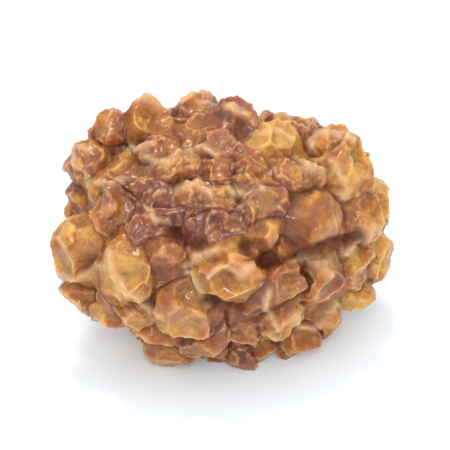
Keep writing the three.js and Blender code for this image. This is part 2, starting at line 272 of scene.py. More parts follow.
# The ridges between its cells: their width as a share of a cell, how far below them the skin beside them
# lies as a share of their height, and what coarse ridges and tilts count for
COARSE_RIDGE = 0.12
FINE_RIDGE = 0.18
RIDGE_FOOT = 0.3
RIDGE_WEIGHT = 0.8
TILT_WEIGHT = 2.0

# Grades: what there is at least, and what is added at the full share of what it goes by. The half grade
# also turns noise between -1 and 1 to a share
HALF_GRADE = (0.5, 0.5)
GROWTH_GRADE = (0.5, 0.5)
COARSE_GRADE = (0.3, 0.7)
FINE_GRADE = (0.1, 0.9)
EDGE_GRADE = (1.2, -0.6)
PINCH_GRADE = (0.4, 1.0)
LONG_FOLD_GRADE = (0.6, 0.4)

# How much the new relief, and then the whole skin, are smoothed
HEIGHT_SMOOTHING = 0.3
SKIN_SMOOTHING = 0.15

# Wrinkles from each tip down the sides: how fast their noise changes round it, down it and from drupelet
# to drupelet, its grain, how sharp and strong they are, and at which lean in radians they begin and are full
FOLDS_ROUND = 1.7
FOLDS_DOWN = 0.7
FOLDS_APART = 5.3
FOLD_SIZE = 0.62
FOLD_SHARPNESS = 2.2
FOLD_STRENGTH = 0.6
FOLD_SHOULDER = (0.15, 0.6)

# The slit in a tip, in the drupelet's own measure
SLIT_WIDTH = 0.16
SLIT_BEND = 0.3
SLIT_END = (0.3, 0.7)
SLIT_TOP = (0.2, 0.6)

# Widths of creases and of the edges between facets, in a drupelet's own measure
CREASE_WIDTH = 0.08
EDGE_WIDTH = 0.05

# Widths of the deep creases, of the long folds and of the dip beside these, in millimetres, how far swirls
# bend these folds, and how deep the dip is as a share of the fold
DEEP_WIDTH = 0.3
LONG_FOLD_WIDTH = 0.19
LONG_FOLD_DIP = 0.35
LONG_FOLD_BEND = 0.25
DIP_SHARE = 0.4

# What the relief is measured against: the skin relaxed by so many rounds, the heights in millimetres at
# which a ridge or a hollow begins and is full, and what broad ridges and deep creases count for
FINE_ROUNDS = 4
BROAD_ROUNDS = 14
DEEP_ROUNDS = 60
FINE_HEIGHTS = (0.01, 0.04)
BROAD_HEIGHTS = (0.04, 0.12)
DEEP_HEIGHTS = (0.04, 0.3)
BROAD_RIDGE = 0.8
DEEP_HOLLOW = 0.9

# How tone is made up: what every point has, what its drupelet adds, and what its distance from a crease adds
# as a painted glow, brighter in each drupelet's middle and darker towards its creases; and how far facets and
# cells vary it, the more so on dark drupelets
TONE_BASE = 0.12
TONE_OWN = 0.55
PAINTED_GLOW_TONE = 0.25
PAINTED_GLOW_GAP = (0.1, 0.7)
FACE_TONE = 0.24
CELL_TONE = 0.14
VARIED_GRADE = (1.2, -0.8)

# Rounds of relaxing that blend the colours over the creases
TONE_ROUNDS = 3
VARIED_ROUNDS = 2
FILM_ROUNDS = 8
CREASE_ROUNDS = 1

# The stub: its rings, its sides and the rings of its end, and its noises as their spread round it and their
# waves along it, the torn edge's as its spread and where it starts
STALK_RINGS = 56
STALK_SIDES = 108
END_RINGS = 9
BUNDLES = (1.9, 1.2)
FIBRES = (4.0, 2.5)
KNOTS = (1.0, 5.0)
TORN_SPREAD = 2.0
TORN_START = 9.0

# Its relief as shares of its radius, the mean of its ridges, and the powers that place its waist and its
# torn edge
BUNDLE_RELIEF = 0.08
FIBRE_RELIEF = 0.07
KNOT_RELIEF = 0.14
MEAN_RIDGE = 0.5
WAIST_POWER = 0.7
TORN_POWER = 6

# Its end: what single fibres add to the torn edge, how far the end closes, how high its lip is and how
# deep its hollow, and how much the fibres fade there
TORN_FIBRES = 0.5
END_CLOSING = 0.94
END_LIP = 0.5
END_DEPTH = 0.4
END_FADING = 0.6

# How much bundles and single fibres count for in its colour
BUNDLE_SHARE = 0.6
FIBRE_SHARE = 0.4

# The patterns of the flesh and the stalk, each as its grain in millimetres and its detail
BLOTCHES = (1.1, 3.0)
FILM_PATCHES = (0.7, 4.0)
PALE_PATCHES = (0.8, 2.0)
CONTOURS = (0.6, 3.0)
SPECKS = (0.25, 4.0)
PORES = (0.14, 4.0)
WOOD_GRAIN = (0.3, 5.0)

# What patterns, or the tone, turn to: low and high, and the values for these two. A crinkle runs where its
# pattern has the value of the contour
PATCH_RANGE = (0.4, 0.6, -0.5, 0.3)
BLOTCH_RANGE = (0.5, 0.95, 1.3, 0.5)
PALE_RANGE = (0.35, 0.65, 0.08, 0.55)
CRINKLE_RANGE = (0.0, 0.05, 1.0, 0.0)
ROUGH_RANGE = (0.3, 0.7, 0.32, 0.6)
CONTOUR_AT = 0.5

# Where the four flesh colours lie on the tone, at which values blotches and specks leave it as it is and
# what specks add to it, and how much there is at most of each other colour, of crinkles and of gloss
FLESH_STOPS = (0.0, 0.35, 0.7, 1.0)
BLOTCH_MEAN = 0.48
SPECK_MEAN = 0.5
SPECK_TONE = 0.5
FILM_MOST = 0.7
# The pale colour of folds is partly a painted highlight; the crease and hollow colours are painted shade
FOLD_MOST = 0.95
CREASE_SHADE_MOST = 0.5
HOLLOW_SHADE_MOST = 0.62
CRINKLE_BUMP = 0.5
GLOSS_MOST = 0.5

# Sockets of a Mix node that mixes colours
MIX_SHARE, MIX_FIRST, MIX_SECOND, MIX_RESULT = 0, 6, 7, 2

# Lamps: turn and rise in degrees, distance and size in metres
LAMPS = {
    "key": (165, 72, 0.45, 0.10),
    "top": (-30, 84, 0.36, 0.70),
    "fill": (-28, 36, 0.60, 0.16),
}

# How far the floor reaches each way, and how near the camera sees, in metres
FLOOR_REACH = 1.0
NEAREST_SEEN = 0.01


# Draws, directions and other arithmetic


def draw(item, drawn, step=0):
    """A repeatable random number for one item, within the range of what is drawn."""
    use, low, high = drawn
    wave = math.sin(item * SCATTER_ITEM + (use + step) * SCATTER_USE + SEED) * SCATTER_SIZE
    return low + (high - low) * (wave - math.floor(wave))


def scattered(angles):
    """Repeatable random numbers from 0 to 1, one for each angle."""
    waves = np.sin(angles) * SCATTER_SIZE
    return waves - np.floor(waves)


def towards(turn, rise):
    """The direction to someone who looks from that turn and rise, in radians."""
    return np.array((math.sin(turn) * math.cos(rise), -math.cos(turn) * math.cos(rise), math.sin(rise)))


def view_axes():
    """Rightward, upward and to the viewer, for the view in which the front was placed."""
    turn = math.radians(VIEW_TURN)
    rightward = np.array((math.cos(turn), math.sin(turn), 0.0))
    viewer = towards(turn, math.radians(VIEW_RISE))
    return rightward, np.cross(viewer, rightward), viewer


def unit(vectors):
    """The vectors' directions, each of length 1."""
    return vectors / np.linalg.norm(vectors, axis=-1, keepdims=True)


def outward_at(points):
    """Outward directions of the body's ellipsoid at points near its skin."""
    return unit(points / BODY ** 2)


def sunk_at(points):
    """How far the sunk shoulder lies below the ellipsoid in the direction of each point."""
    facing = (unit(points) @ SUNK_SHOULDER - SUNK_EDGE) / (1 - SUNK_EDGE)
    return SUNK_DEPTH * np.maximum(facing, 0) ** 2


def smooth_step(values, low, high):
    """0 up to low, 1 from high, and a smooth rise between them."""
    share = np.clip((values - low) / (high - low), 0, 1)
    return share * share * (3 - 2 * share)


def graded(shares, grade):
    """What the relief or the colour has at least, with what the shares add to it."""
    least, added = grade
    return least + added * shares


def bell(distances, width):
    """1 at no distance, and almost nothing from twice the width."""
    return np.exp(-(distances / width) ** 2)


def ripple(points, size):
    """Smooth noise between about -1 and 1 whose waves are as long as size."""
    return np.array([noise.noise(point) for point in points / size])


def drift(points, size, side=1):
    """Smooth noise in all three directions at each point."""
    return np.column_stack([ripple(points + side * start, size) for start in NOISE_STARTS])


def cells(points, size):
    """Random cells of about that size: how far each point is from their walls, how far out it would lie
    if its cell were tilted at random, and the cell's own number between -1 and 1."""
    places = points / size
    found = [noise.voronoi(place) for place in places]
    reach = np.array([distances[:2] for distances, _ in found])
    seeds = np.array([centres[0] for _, centres in found])
    tilts = 2 * scattered(seeds @ CELL_SCATTER) - 1
    return reach[:, 1] - reach[:, 0], np.sum((places - seeds) * tilts, axis=1), tilts[:, 0]


def near_lines(points, lines, width):
    """1 on lines drawn in the view of the front, and less with distance from them."""
    rightward, upward, viewer = view_axes()
    flat = np.column_stack((points @ rightward, points @ upward))
    facing = points @ viewer > 0
    share = np.zeros(len(points))
    for line in lines:
        for start, stop in zip(line, line[1:]):
            start, along = np.array(start), np.array(stop) - np.array(start)
            place = np.clip((flat - start) @ along / (along @ along), 0, 1)
            distance = np.linalg.norm(flat - start - place[:, None] * along, axis=1)
            share = np.maximum(share, bell(distance, width))
    return share * facing


def fitted(points, low, high, box):
    """The points moved and stretched so that the box from low to high becomes the given one."""
    scale = (box[1] - box[0]) / (high - low)
    return (points - low) * scale + box[0]


# Where the drupelets are and how each is shaped


class Drupelet:
    """One drupelet: its place on the body, its size, its shrunk shape and its look."""

    def __init__(self, item, centre, sideways, size, stand, look):
        outward = outward_at(centre)
        across = unit(sideways - outward * (sideways @ outward))
        self.item = item
        self.centre = centre + outward * stand
        self.axes = np.array((across, np.cross(outward, across), outward))
        self.wide, self.high = size
        self.tone, self.film, self.creased, self.pit = look
        self.cast = item % CASTS if self.creased > 0 else CASTS

    def half(self, settings):
        """Half its size across, along and outward."""
        deep = settings.deep_base + settings.deep_share * (self.wide + self.high)
        return np.array((self.wide / 2 + settings.overlap, self.high / 2 + settings.overlap, deep))


def front_drupelets():
    """Each where its line of sight meets the body, or passes it most closely."""
    rightward, upward, viewer = view_axes()
    line = viewer / BODY
    drupelets = []
    for item, (right, up, wide, high, stand, *look) in enumerate(FRONT):
        centre = rightward * right + upward * up
        start = centre / BODY
        middle = -(start @ line) / (line @ line)
        half = math.sqrt(max(middle ** 2 - (start @ start - 1) / (line @ line), 0))
        centre = centre + viewer * (middle + half)
        drupelets.append(Drupelet(item, centre, rightward, (wide, high), stand, look))
    return drupelets


def back_drupelets(front):
    """The places on a fine golden-angle spiral that the front leaves free."""
    placed = list(front)
    stalk = STEM_AT * BODY
    for place in range(SPIRAL_PLACES):
        along = 1 - 2 * (place + 0.5) / SPIRAL_PLACES
        girth = math.sqrt(1 - along ** 2)
        turn = place * GOLDEN_TURN
        centre = np.array((along, girth * math.cos(turn), girth * math.sin(turn))) * BODY
        wide = SPACING * draw(place, DRAWN_WIDE)
        high = SPACING * draw(place, DRAWN_HIGH)
        bare = np.linalg.norm(centre - stalk) < STEM_PIT
        centre = centre - outward_at(centre) * sunk_at(centre)
        centre[2] = max(centre[2], UNDERSIDE_SINK - BODY[2])
        clear = all(
            np.linalg.norm(other.centre - centre) > CROWDING * (wide + high + other.wide + other.high) / 4
            for other in placed
        )
        if clear and not bare:
            look = [draw(place, drawn) for drawn in (DRAWN_TONE, DRAWN_FILM, DRAWN_CREASED, DRAWN_PIT)]
            stand = draw(place, DRAWN_STAND)
            placed.append(Drupelet(len(placed), centre, np.array((1.0, 0, 0)), (wide, high), stand, look))
    return placed


def facets_of(cast):
    """The flat faces of one shrunk shape, each a normal over its distance; the last shape stays round."""
    if cast == CASTS:
        return np.zeros((1, 3))
    faces = [(draw(cast, DRAWN_TOP_ROUND), draw(cast, DRAWN_TOP_LEAN), TOP_REACH)]
    for side in range(SIDES):
        turn = 2 * math.pi * (side + draw(cast, DRAWN_SIDE_SHIFT, side)) / SIDES
        faces.append((turn, draw(cast, DRAWN_SIDE_LEAN, side), draw(cast, DRAWN_SIDE_REACH, side)))
    facets = []
    for turn, lean, reach in faces:
        normal = np.array((math.sin(lean) * math.cos(turn), math.sin(lean) * math.sin(turn), math.cos(lean)))
        facets.append(normal / reach)
    return np.array(facets)


def pressed(points, facets):
    """How far out each point is, where 1 is the skin of the pressed ball."""
    pushes = np.maximum(points @ facets.T, 0) ** SHARPNESS
    return (np.sum(points ** 2, axis=1) ** (SHARPNESS / 2) + pushes.sum(axis=1)) ** (1 / SHARPNESS)


def from_edge(directions, facets):
    """How far each direction is from the edge between two faces, 0 on it; and which face it is on."""
    pushes = np.hstack((directions @ facets.T, np.ones((len(directions), 1))))
    face = pushes.argmax(axis=1)
    pushes.sort(axis=1)
    return 1 - pushes[:, -2] / pushes[:, -1], face


# Meshes and nodes


def mesh_object(name, points, faces):
    """A new object with its mesh, linked to no collection yet."""
    mesh = bpy.data.meshes.new(name)
    mesh.from_pydata([tuple(point) for point in points], [], faces)
    mesh.update()
    return bpy.data.objects.new(name, mesh)


def ball(detail):
    """Points and faces of an even ball."""
    form = bmesh.new()
    bmesh.ops.create_icosphere(form, subdivisions=detail, radius=1)
    points = np.array([vertex.co for vertex in form.verts])
    faces = [[vertex.index for vertex in face.verts] for face in form.faces]
    form.free()
    return unit(points), faces


def store(mesh, name, values, kind="FLOAT", field="value"):
    """Stores a value for each point of a mesh, for node trees to read."""
    mesh.attributes.new(name, kind, "POINT").data.foreach_set(field, values)


def add(tree, kind, inputs=(), **settings):
    """One node with its settings; each input takes a value, a socket or another node's first output."""
    node = tree.nodes.new(kind)
    for name, value in settings.items():
        setattr(node, name, value)
    for socket, value in dict(inputs).items():
        if isinstance(value, bpy.types.Node):
            value = value.outputs[0]
        if isinstance(value, bpy.types.NodeSocket):
            tree.links.new(value, node.inputs[socket])
        else:
            node.inputs[socket].default_value = value
    return node


class Surface:
    """The points and edges of a mesh as arrays, with what is measured on them."""

    def __init__(self, mesh):
        self.mesh = mesh
        points = np.empty(len(mesh.vertices) * 3)
        mesh.vertices.foreach_get("co", points)
        self.points = points.reshape(-1, 3)
        edges = np.empty(len(mesh.edges) * 2, int)
        mesh.edges.foreach_get("vertices", edges)
        self.edges = edges.reshape(-1, 2)
        self.degree = np.bincount(edges, minlength=len(self.points))

    def neighbours_mean(self, values):
        """The mean of the neighbours' values at each point."""
        a, b = self.edges.T
        count = len(self.points)
        sums = [
            np.bincount(a, column[b], count) + np.bincount(b, column[a], count)
            for column in np.atleast_2d(values.T)
        ]
        means = np.array(sums).T / self.degree[:, None]
        return means if values.ndim > 1 else means[:, 0]

    def relaxed(self, values, rounds, share=0.5):
        """The values after so many rounds of moving them towards their neighbours' mean."""
        for _ in range(rounds):
            values = values + share * (self.neighbours_mean(values) - values)
        return values

    def sunk(self, rounds, normals):
        """How far each point lies below the relaxed skin."""
        return np.sum((self.relaxed(self.points, rounds) - self.points) * normals, axis=1)

    def normals(self):
        """The directions that the skin faces at its present points."""
        self.write()
        normals = np.empty(len(self.points) * 3)
        self.mesh.vertex_normals.foreach_get("vector", normals)
        return normals.reshape(-1, 3)

    def write(self):
        """Brings the mesh to the present points."""
        self.mesh.vertices.foreach_set("co", self.points.ravel())
        self.mesh.update()


# The fruit's mesh


def cast_object(cast, settings):
    """One shrunk shape: flat faces that have sunk a little between raised edges."""
    points, faces = ball(CAST_DETAIL)
    facets = facets_of(cast)
    reach = 1 / pressed(points, facets)
    reach = reach - settings.dish * smooth_step(from_edge(points, facets)[0], 0, DISH_WIDTH)
    return mesh_object(f"cast_{cast:02d}", points * reach[:, None], faces)


def core_object():
    """The flesh that all drupelets are rooted in."""
    points, faces = ball(CORE_DETAIL)
    points = points * (BODY + CORE_RISE)
    from_stalk = np.linalg.norm(points - STEM_AT * BODY, axis=1)
    dent = sunk_at(points) + STALK_HOLLOW * bell(from_stalk, STEM_PIT)
    points = points - outward_at(points) * dent[:, None]
    points[:, 2] = np.maximum(points[:, 2], UNDERSIDE_SINK - BODY[2] - CORE_RISE)
    return mesh_object("core", points, faces)


def places_object(drupelets):
    """A point for each drupelet, which carries its turn, its size and its cast."""
    places = mesh_object("places", [each.centre for each in drupelets], [])
    turns = [Matrix(each.axes).transposed().to_euler() for each in drupelets]
    angles = [angle for turn in turns for angle in turn]
    store(places.data, "turn", angles, "FLOAT_VECTOR", "vector")
    store(places.data, "wide", [each.wide for each in drupelets])
    store(places.data, "high", [each.high for each in drupelets])
    store(places.data, "cast", [each.cast for each in drupelets], "INT")
    return places


def drupelet_tree():
    """Sets a cast on each place, stretched to its size, and joins them to the core."""
    tree = bpy.data.node_groups.new("Drupelets on a core", "GeometryNodeTree")
    tree.interface.new_socket("Geometry", in_out="OUTPUT", socket_type="NodeSocketGeometry")
    for name, kind in (
        ("Geometry", "Geometry"), ("Casts", "Collection"), ("Core", "Object"), ("Overlap", "Float"),
        ("Deep Base", "Float"), ("Deep Share", "Float"), ("Material", "Material"),
    ):
        tree.interface.new_socket(name, in_out="INPUT", socket_type=f"NodeSocket{kind}")
    given = add(tree, "NodeGroupInput").outputs
    turn, wide, high, cast = (
        add(tree, "GeometryNodeInputNamedAttribute", {"Name": name}, data_type=kind)
        for name, kind in (("turn", "FLOAT_VECTOR"), ("wide", "FLOAT"), ("high", "FLOAT"), ("cast", "INT"))
    )
    across, along = (
        add(tree, "ShaderNodeMath", {0: size, 1: 0.5, 2: given["Overlap"]}, operation="MULTIPLY_ADD")
        for size in (wide, high)
    )
    both = add(tree, "ShaderNodeMath", {0: wide, 1: high}, operation="ADD")
    deep_inputs = {0: both, 1: given["Deep Share"], 2: given["Deep Base"]}
    deep = add(tree, "ShaderNodeMath", deep_inputs, operation="MULTIPLY_ADD")
    stretch = add(tree, "ShaderNodeCombineXYZ", {0: across, 1: along, 2: deep})
    casts = add(
        tree, "GeometryNodeCollectionInfo",
        {"Collection": given["Casts"], "Separate Children": True, "Reset Children": True})
    placed = add(tree, "GeometryNodeInstanceOnPoints", {
        "Points": given["Geometry"], "Instance": casts, "Pick Instance": True, "Instance Index": cast,
        "Rotation": turn, "Scale": stretch,
    })
    core = add(tree, "GeometryNodeObjectInfo", {"Object": given["Core"]}).outputs["Geometry"]
    joined = add(tree, "GeometryNodeJoinGeometry", {0: placed})
    tree.links.new(core, joined.inputs[0])
    real = add(tree, "GeometryNodeRealizeInstances", {0: joined})
    done = add(tree, "GeometryNodeSetMaterial", {0: real, "Material": given["Material"]})
    add(tree, "NodeGroupOutput", {0: done})
    return tree


def give(modifier, inputs):
    """Sets a geometry-nodes modifier's inputs by their sockets' identifiers."""
    for item in modifier.node_group.interface.items_tree:
        if item.in_out == "INPUT" and item.name in inputs:
            modifier[item.identifier] = inputs[item.name]


def plain_mesh(thing, name):
    """The evaluated mesh of an object, free of its modifiers."""
    graph = bpy.context.evaluated_depsgraph_get()
    mesh = bpy.data.meshes.new_from_object(thing.evaluated_get(graph))
    mesh.name = name
    return mesh


def fused_mesh(drupelets, settings, material):
    """All drupelets and the core as one skin, in millimetres."""
    casts = bpy.data.collections.new("Casts")
    for cast in range(CASTS + 1):
        casts.objects.link(cast_object(cast, settings))
    core = core_object()
    places = places_object(drupelets)
    shelf = bpy.context.scene.collection
    shelf.children.link(casts)
    shelf.objects.link(core)
    shelf.objects.link(places)
    grow = places.modifiers.new("Drupelets", "NODES")
    grow.node_group = drupelet_tree()
    give(grow, {
        "Casts": casts, "Core": core, "Overlap": settings.overlap, "Deep Base": settings.deep_base,
        "Deep Share": settings.deep_share, "Material": material,
    })
    fuse = places.modifiers.new("Fuse", "REMESH")
    fuse.mode = "VOXEL"
    fuse.voxel_size = settings.fineness
    fuse.use_smooth_shade = True
    mesh = plain_mesh(places, "fruit_skin")
    for thing in [places, core, *casts.objects]:
        bpy.data.meshes.remove(thing.data)
    bpy.data.collections.remove(casts)
    return mesh


class Owners:
    """For each point: its drupelet, its place and its distance from a facet's edge in that drupelet's own
    measure, the next nearest drupelet, the gap between the two, and how strong the crease between them is."""

    def __init__(self, points, drupelets, settings):
        count = len(points)
        nearest = np.full(count, UNFOUND)
        second = np.full(count, UNFOUND)
        self.drupelets = drupelets
        self.item = np.zeros(count, int)
        self.rival = np.zeros(count, int)
        self.local = np.zeros((count, 3))
        self.edge = np.ones(count)
        self.face = np.zeros(count, int)
        for each in drupelets:
            half = each.half(settings)
            close = np.flatnonzero(np.linalg.norm(points - each.centre, axis=1) < SEARCHED * half.max())
            inside = (points[close] - each.centre) @ each.axes.T / half
            facets = facets_of(each.cast)
            value = pressed(inside, facets)
            closer = value < nearest[close]
            nearer = ~closer & (value < second[close])
            second[close] = np.where(closer, nearest[close], np.where(nearer, value, second[close]))
            self.rival[close] = np.where(
                closer, self.item[close], np.where(nearer, each.item, self.rival[close]))
            taken = close[closer]
            nearest[taken] = value[closer]
            self.item[taken] = each.item
            self.local[taken] = inside[closer]
            self.edge[taken], self.face[taken] = from_edge(unit(inside[closer]), facets)
        self.gap = second - nearest
        strength = scattered((self.item + self.rival + SEED) * SCATTER_ITEM)
        below = (self.item >= len(FRONT_ABOVE)) & (self.item < len(FRONT))
        self.strength = np.where(below, graded(strength, HALF_GRADE), strength)

    def look(self, name):
        """One number of each point's drupelet."""
        return np.array([getattr(each, name) for each in self.drupelets])[self.item]


def fill_creases(surface, owners, settings):
    """Grows neighbouring drupelets together, but for the creases that stay deep."""
    deep = near_lines(surface.points, DEEP_CREASES, KEPT_OPEN)
    deep = np.maximum(deep, OPEN_MOST * smooth_step(owners.strength, *OPEN_STRENGTH))
    growth = surface.relaxed((1 - deep) * graded(owners.look("creased"), GROWTH_GRADE), GROWTH_ROUNDS)
    for _ in range(settings.fill_rounds // ROUNDS_PER_NORMAL):
        normals = surface.normals()
        for _ in range(ROUNDS_PER_NORMAL):
            move = surface.neighbours_mean(surface.points) - surface.points
            hollow = np.sum(move * normals, axis=1) > 0
            share = np.where(hollow, HOLLOW_MOVE, RAISED_MOVE) * growth
            surface.points = surface.points + move * share[:, None]


def warp(points, settings):
    """Bends the skin at random so that no two drupelets keep the same outline."""
    coarse = drift(points, settings.warp_size)
    fine = drift(points, settings.warp_size * FINE_WARP_SIZE, -1)
    return points + settings.warp * (coarse + FINE_WARP * fine)


def tip_folds(owners):
    """Wrinkles that run from each drupelet's tip down its sides, and where on its shoulder they grow."""
    out = unit(owners.local)
    lean = np.arccos(np.clip(out[:, 2], -1, 1))
    places = np.column_stack((unit(out[:, :2]) * FOLDS_ROUND, lean * FOLDS_DOWN + owners.item * FOLDS_APART))
    folds = 1 - FOLD_SHARPNESS * np.abs(ripple(places, FOLD_SIZE))
    return folds, smooth_step(lean, *FOLD_SHOULDER)


def tip_slits(points, owners):
    """1 along the slit in each drupelet's tip, and nothing away from it."""
    turn = owners.item * GOLDEN_TURN
    across = owners.local[:, 0] * np.cos(turn) + owners.local[:, 1] * np.sin(turn)
    along = owners.local[:, 1] * np.cos(turn) - owners.local[:, 0] * np.sin(turn)
    slit = bell(across + SLIT_BEND * ripple(points, SWIRL_SIZE), SLIT_WIDTH)
    slit = slit * (1 - smooth_step(np.abs(along), *SLIT_END))
    return slit * smooth_step(unit(owners.local)[:, 2], *SLIT_TOP)


def wrinkle(surface, owners, settings):
    """Crumples the skin of each drupelet, pinches the creases between them and raises the long folds. The
    cells, creases and folds that it makes are kept with the owners, because the colours follow them."""
    points = surface.points
    creased = owners.look("creased")
    strong = graded(ripple(points, STRONG_SIZE), HALF_GRADE)
    swirl = drift(points, SWIRL_SIZE)
    swirled = points + SWIRL * swirl
    coarse_wall, coarse_tilt, owners.cell = cells(swirled, COARSE_CELLS)
    fine_wall, fine_tilt, _ = cells(swirled + CELLS_APART, FINE_CELLS)
    coarse_ridge = bell(coarse_wall, COARSE_RIDGE) - RIDGE_FOOT
    fine_ridge = bell(fine_wall, FINE_RIDGE) - RIDGE_FOOT
    edge = bell(owners.edge, EDGE_WIDTH) - RIDGE_FOOT
    folds, shoulder = tip_folds(owners)
    pit = np.maximum(owners.look("pit"), 0)
    pinch = bell(owners.gap, CREASE_WIDTH) * graded(owners.strength, PINCH_GRADE)
    owners.deep = near_lines(points, DEEP_CREASES, DEEP_WIDTH)
    bent = points + LONG_FOLD_BEND * swirl
    owners.raised = near_lines(bent, PALE_FOLDS, LONG_FOLD_WIDTH) * graded(strong, LONG_FOLD_GRADE)
    coarse = RIDGE_WEIGHT * strong * coarse_ridge + TILT_WEIGHT * coarse_tilt
    fine = strong * fine_ridge + fine_tilt

    height = settings.fold_height * creased * FOLD_STRENGTH * folds * shoulder
    height += settings.crumple * graded(creased, COARSE_GRADE) * coarse
    height += settings.crumple * graded(creased, FINE_GRADE) * fine
    height += settings.edge_height * edge * graded(strong, EDGE_GRADE)
    height -= settings.pit_depth * pit * tip_slits(points, owners)
    height -= settings.crease_pinch * pinch
    height -= settings.crease_depth * owners.deep
    height += settings.long_fold * (owners.raised - DIP_SHARE * near_lines(bent, PALE_FOLDS, LONG_FOLD_DIP))
    height = surface.relaxed(height, 1, HEIGHT_SMOOTHING)
    surface.points = points + surface.normals() * height[:, None]
    surface.points = surface.relaxed(surface.points, 1, SKIN_SMOOTHING)


def fit(surface):
    """Brings the skin to the fruit's box, with its resting spots on the floor."""
    low, high = surface.points.min(axis=0), surface.points.max(axis=0)
    low[2] += REST_TRIM
    box = [np.array(corner) / MM for corner in FRUIT_BOX]
    surface.points = fitted(surface.points, low, high, box)
    surface.points[:, 2] = np.maximum(surface.points[:, 2], box[0][2])


def measure_relief(surface, owners):
    """Stores what the flesh's colours follow: its tone, film, creases, ridges, folds and hollows."""
    normals = surface.normals()
    fine, broad, deep = (surface.sunk(rounds, normals) for rounds in (FINE_ROUNDS, BROAD_ROUNDS, DEEP_ROUNDS))
    tone = owners.look("tone")
    face = 2 * scattered((owners.item * (SIDES + 2) + owners.face) * SCATTER_ITEM + SEED) - 1
    # Painted glow: the tone rises away from the creases, so each drupelet is brighter in its middle and
    # darker at its edges
    middle = smooth_step(owners.gap, *PAINTED_GLOW_GAP)
    varied = graded(tone, VARIED_GRADE) * (FACE_TONE * face + CELL_TONE * owners.cell)
    tone, middle = (surface.relaxed(values, TONE_ROUNDS) for values in (tone, middle))
    tone = TONE_BASE + TONE_OWN * tone + PAINTED_GLOW_TONE * middle
    # Painted shade: the crease colour darkens the creases between drupelets and the deepest creases
    crease = bell(owners.gap, CREASE_WIDTH) * graded(owners.strength, HALF_GRADE)
    # The ridges are coloured pale, partly the crust's own paleness and partly a painted highlight
    ridge = np.maximum(smooth_step(-fine, *FINE_HEIGHTS), BROAD_RIDGE * smooth_step(-broad, *BROAD_HEIGHTS))
    store(surface.mesh, "tone", tone + surface.relaxed(varied, VARIED_ROUNDS))
    store(surface.mesh, "film", surface.relaxed(owners.look("film"), FILM_ROUNDS))
    store(surface.mesh, "crease", surface.relaxed(np.maximum(crease, owners.deep), CREASE_ROUNDS))
    store(surface.mesh, "ridge", ridge)
    store(surface.mesh, "fold", owners.raised)
    # Painted shade: the hollows, deep below the relaxed skin and along the deepest creases, are darkened
    store(surface.mesh, "hollow", np.maximum(smooth_step(deep, *DEEP_HEIGHTS), DEEP_HOLLOW * owners.deep))


# The stalk's mesh


def round_noise(turn, spread, along):
    """Smooth noise on a stem: how fast it changes round it is the spread."""
    return noise.noise(Vector((math.cos(turn) * spread, math.sin(turn) * spread, along)))


def ridged(turn, share, grain):
    """1 on the ridges that run along a stem, and less in the grooves between them."""
    spread, waves = grain
    return 1 - 2 * abs(round_noise(turn, spread, share * waves))


def stalk_object(settings):
    """A waisted stem of twisted fibres that curls aside, with a ragged, hollow end."""
    points, fibres = [], []
    for ring in range(STALK_RINGS + END_RINGS + 1):
        share = min(ring / STALK_RINGS, 1)
        inward = max(ring - STALK_RINGS, 0) / END_RINGS
        waist = 1 - settings.waist * math.sin(math.pi * share ** WAIST_POWER)
        dished = settings.ragged * (END_LIP * math.sin(math.pi * inward) - END_DEPTH * inward)
        for side in range(STALK_SIDES):
            turn = 2 * math.pi * side / STALK_SIDES
            twisted = turn + settings.twist * share
            bundle = ridged(twisted, share, BUNDLES)
            fine = ridged(twisted, share, FIBRES)
            knot = round_noise(turn, KNOTS[0], share * KNOTS[1])
            torn = round_noise(twisted, TORN_SPREAD, TORN_START) + TORN_FIBRES * fine
            relief = BUNDLE_RELIEF * (bundle - MEAN_RIDGE) + FIBRE_RELIEF * (fine - MEAN_RIDGE)
            relief += KNOT_RELIEF * knot
            radius = settings.diameter / 2 * (waist + relief) * (1 - END_CLOSING * inward)
            height = settings.length * share + share ** TORN_POWER * settings.ragged * torn * (1 - inward)
            height += dished
            bend = settings.bend * (height / settings.length) ** 2
            points.append((radius * math.cos(turn) + bend, height, radius * math.sin(turn)))
            fibres.append((BUNDLE_SHARE * bundle + FIBRE_SHARE * fine) * (1 - END_FADING * inward))
    faces = []
    for ring in range(STALK_RINGS + END_RINGS):
        for side in range(STALK_SIDES):
            here = ring * STALK_SIDES + side
            beside = ring * STALK_SIDES + (side + 1) % STALK_SIDES
            faces.append((here, here + STALK_SIDES, beside + STALK_SIDES, beside))
    faces.append(tuple(range(STALK_SIDES)))
    faces.append(tuple(range(len(points) - STALK_SIDES, len(points)))[::-1])
    stand = Vector((0, 1, 0)).rotation_difference(Vector(STEM_LEAN)).to_matrix()
    placed = np.array(points) @ np.array(stand).T
    box = [np.array(corner) for corner in STALK_BOX]
    placed = fitted(placed, placed.min(axis=0), placed.max(axis=0), box)
    stub = mesh_object("stalk_stub", placed, faces)
    store(stub.data, "fibre", fibres)
    return stub


# Materials


def linear(hex_colour):
    """An sRGB hex colour as linear red, green and blue."""
    channels = [int(hex_colour[at:at + 2], 16) / 255 for at in (1, 3, 5)]
    return tuple(c / 12.92 if c <= 0.04045 else ((c + 0.055) / 1.055) ** 2.4 for c in channels)


def opaque(colour):
    """The colour with its alpha at 1."""
    return (*colour, 1.0)


def empty_material(name):
    """A material with an empty node tree, and that tree."""
    material = bpy.data.materials.new(name)
    material.use_nodes = True
    material.node_tree.nodes.clear()
    return material, material.node_tree


def set_stops(ramp, stops):
    """Gives a colour ramp its stops, each a place from 0 to 1 and a colour."""
    elements = ramp.color_ramp.elements
    elements.remove(elements[1])
    elements[0].position, elements[0].color = stops[0]
    for place, colour in stops[1:]:
        elements.new(place).color = colour


